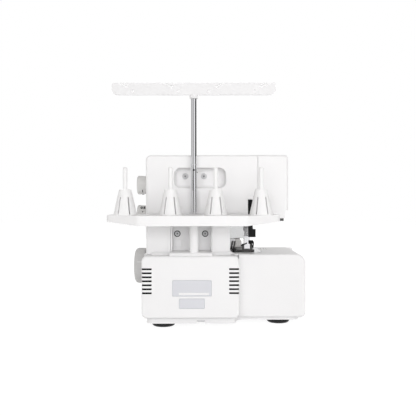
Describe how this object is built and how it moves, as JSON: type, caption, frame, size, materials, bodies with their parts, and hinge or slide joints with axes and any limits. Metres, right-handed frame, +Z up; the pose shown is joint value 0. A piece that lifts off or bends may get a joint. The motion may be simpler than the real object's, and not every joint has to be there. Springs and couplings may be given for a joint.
{
  "type": "overlock sewing machine",
  "caption": "White domestic overlock sewing machine with arm, sliding bed cover, handwheel, thread tray with spool pins and a telescopic thread guide.",
  "frame": {"origin": "centre of the overall box, at the bottom of the feet", "axes": "+Z up; the operator sits on the -Y side; +X points to the operator's right, where the handwheel is"},
  "size_m": [0.3264, 0.28, 0.4065],
  "materials": {
    "casing_white": "satin",
    "pin_white": "matte",
    "knob_grey": "satin",
    "wheel_grey": "satin",
    "dial_grey": "satin",
    "guard_grey": "satin",
    "lifter_black": "satin",
    "switch_black": "satin",
    "pulley_black": "matte",
    "motor_black": "satin",
    "foot_rubber": "matte",
    "belt_rubber": "matte",
    "pole_chrome": "polished",
    "polished_steel": "polished",
    "ground_steel": "satin",
    "tool_steel": "satin",
    "screw_steel": "satin",
    "cast_aluminium": "matte",
    "bush_bronze": "satin"
  },
  "bodies": {
    "machine": {"base_plate": "casing_white", "rubber_feet": "foot_rubber", "base_cover": "casing_white", "rear_base_cover": "casing_white", "rear_cover": "casing_white", "cover_screws": "screw_steel", "front_cover": "casing_white", "face_cover": "casing_white", "thread_cutter": "tool_steel", "needle_guard": "guard_grey", "side_cover_rails": "ground_steel", "needle_plate": "polished_steel", "frame_casting": "cast_aluminium", "bronze_bushes": "bush_bronze", "motor": "motor_black", "drive_belt": "belt_rubber", "presser_spring": "tool_steel", "pivot_pins": "ground_steel", "lower_knife": "tool_steel", "tension_axle": "ground_steel", "power_inlet": "switch_black", "thread_tray": "casing_white", "pole_socket": "casing_white", "lower_pole": "pole_chrome", "spool_pins": "pin_white", "spool_cone_1": "pin_white", "spool_cone_2": "pin_white", "spool_cone_3": "pin_white", "spool_cone_4": "pin_white"},
    "main_drive": {"handwheel": "wheel_grey", "main_shaft": "ground_steel", "shaft_pulley": "pulley_black"},
    "motor_rotor": {"motor_shaft": "ground_steel", "motor_pulley": "pulley_black"},
    "needle_carrier": {"needle_bar": "polished_steel", "needle_clamp": "tool_steel", "needles": "polished_steel"},
    "upper_looper": {"upper_looper": "tool_steel"},
    "lower_looper": {"lower_looper": "tool_steel"},
    "upper_knife": {"upper_knife": "tool_steel"},
    "feed_dog": {"feed_dog": "tool_steel"},
    "lifter": {"foot_lifter": "lifter_black"},
    "presser_carrier": {"presser_bar": "polished_steel", "foot_holder": "tool_steel", "foot_pin": "ground_steel"},
    "presser_foot": {"presser_foot": "polished_steel"},
    "tension_dial_1": {"tension_dial_1": "dial_grey"},
    "tension_dial_2": {"tension_dial_2": "dial_grey"},
    "tension_dial_3": {"tension_dial_3": "dial_grey"},
    "tension_dial_4": {"tension_dial_4": "dial_grey"},
    "stitch_length_knob": {"stitch_length_knob": "knob_grey"},
    "differential_knob": {"differential_knob": "knob_grey"},
    "pressure_screw": {"pressure_screw": "knob_grey"},
    "power_rocker": {"power_rocker": "switch_black"},
    "looper_cover_slide": {"looper_cover_pin": "ground_steel"},
    "looper_cover": {"looper_cover": "casing_white"},
    "side_cover": {"side_cover": "casing_white"},
    "upper_pole": {"upper_pole": "pole_chrome"},
    "guide_bar": {"thread_guide_bar": "casing_white"}
  },
  "joints": [
    {"name": "handwheel_turn", "type": "hinge", "parent": "machine", "child": "main_drive", "pos_m": [0.113, -0.03, 0.095], "axis": [1, 0, 0], "continuous": true},
    {"name": "motor_turn", "type": "hinge", "parent": "machine", "child": "motor_rotor", "pos_m": [0.08, 0.022, 0.05], "axis": [1, 0, 0], "continuous": true},
    {"name": "needle_bar_stroke", "type": "slide", "parent": "machine", "child": "needle_carrier", "axis": [0, 0, -1], "range_m": [0, 0.027]},
    {"name": "upper_looper_swing", "type": "hinge", "parent": "machine", "child": "upper_looper", "pos_m": [-0.1, -0.0525, 0.06], "axis": [0, 1, 0], "range_deg": [0, 20]},
    {"name": "lower_looper_swing", "type": "hinge", "parent": "machine", "child": "lower_looper", "pos_m": [-0.058, -0.044, 0.058], "axis": [0, 1, 0], "range_deg": [0, 14]},
    {"name": "upper_knife_stroke", "type": "slide", "parent": "machine", "child": "upper_knife", "axis": [0, 0, -1], "range_m": [0, 0.01]},
    {"name": "feed_dog_stroke", "type": "slide", "parent": "machine", "child": "feed_dog", "axis": [0, 1, 0], "range_m": [0, 0.003]},
    {"name": "lifter_swing", "type": "hinge", "parent": "machine", "child": "lifter", "pos_m": [-0.06865, 0.014, 0.175], "axis": [1, 0, 0], "range_deg": [0, 40]},
    {"name": "presser_bar_lift", "type": "slide", "parent": "machine", "child": "presser_carrier", "axis": [0, 0, 1], "range_m": [0, 0.006], "deforming": ["presser_spring"]},
    {"name": "presser_foot_tip", "type": "hinge", "parent": "presser_carrier", "child": "presser_foot", "pos_m": [-0.066, -0.017, 0.13], "axis": [1, 0, 0], "range_deg": [-12, 0]},
    {"name": "tension_dial_1_turn", "type": "hinge", "parent": "machine", "child": "tension_dial_1", "pos_m": [-0.04, -0.066, 0.245], "axis": [1, 0, 0], "range_deg": [-150, 150]},
    {"name": "tension_dial_2_turn", "type": "hinge", "parent": "machine", "child": "tension_dial_2", "pos_m": [-0.01, -0.066, 0.245], "axis": [1, 0, 0], "range_deg": [-150, 150]},
    {"name": "tension_dial_3_turn", "type": "hinge", "parent": "machine", "child": "tension_dial_3", "pos_m": [0.02, -0.066, 0.245], "axis": [1, 0, 0], "range_deg": [-150, 150]},
    {"name": "tension_dial_4_turn", "type": "hinge", "parent": "machine", "child": "tension_dial_4", "pos_m": [0.05, -0.066, 0.245], "axis": [1, 0, 0], "range_deg": [-150, 150]},
    {"name": "stitch_length_turn", "type": "hinge", "parent": "machine", "child": "stitch_length_knob", "pos_m": [0.109, -0.04, 0.239], "axis": [1, 0, 0], "range_deg": [-135, 135]},
    {"name": "differential_turn", "type": "hinge", "parent": "machine", "child": "differential_knob", "pos_m": [0.109, -0.04, 0.186], "axis": [1, 0, 0], "range_deg": [-135, 135]},
    {"name": "pressure_screw_turn", "type": "hinge", "parent": "machine", "child": "pressure_screw", "pos_m": [-0.066, -0.026, 0.288], "axis": [0, 0, 1], "range_deg": [-180, 180]},
    {"name": "power_rocker_tip", "type": "hinge", "parent": "machine", "child": "power_rocker", "pos_m": [0.107, -0.067, 0.07], "axis": [0, 1, 0], "range_deg": [-8, 8]},
    {"name": "looper_cover_shift", "type": "slide", "parent": "machine", "child": "looper_cover_slide", "axis": [1, 0, 0], "range_m": [0, 0.006]},
    {"name": "looper_cover_swing", "type": "hinge", "parent": "looper_cover_slide", "child": "looper_cover", "pos_m": [-0.045, -0.118, 0.027], "axis": [1, 0, 0], "range_deg": [0, 85]},
    {"name": "side_cover_shift", "type": "slide", "parent": "machine", "child": "side_cover", "axis": [-1, 0, 0], "range_m": [0, 0.045]},
    {"name": "pole_slide", "type": "slide", "parent": "machine", "child": "upper_pole", "axis": [0, 0, -1], "range_m": [0, 0.08]},
    {"name": "guide_bar_swivel", "type": "hinge", "parent": "upper_pole", "child": "guide_bar", "pos_m": [0.0265, 0.043, 0.3835], "axis": [0, 0, 1], "range_deg": [-90, 90]}
  ],
  "couplings": [
    {"joint": "motor_turn", "follows": "handwheel_turn", "ratio": 2.4444},
    {"joint": "upper_looper_swing", "follows": "needle_bar_stroke", "rad_per_m": 12.928},
    {"joint": "lower_looper_swing", "follows": "needle_bar_stroke", "rad_per_m": 9.0498},
    {"joint": "upper_knife_stroke", "follows": "needle_bar_stroke", "ratio": 0.37037},
    {"joint": "feed_dog_stroke", "follows": "needle_bar_stroke", "ratio": 0.11111},
    {"joint": "lifter_swing", "follows": "presser_bar_lift", "rad_per_m": 116.36}
  ]
}
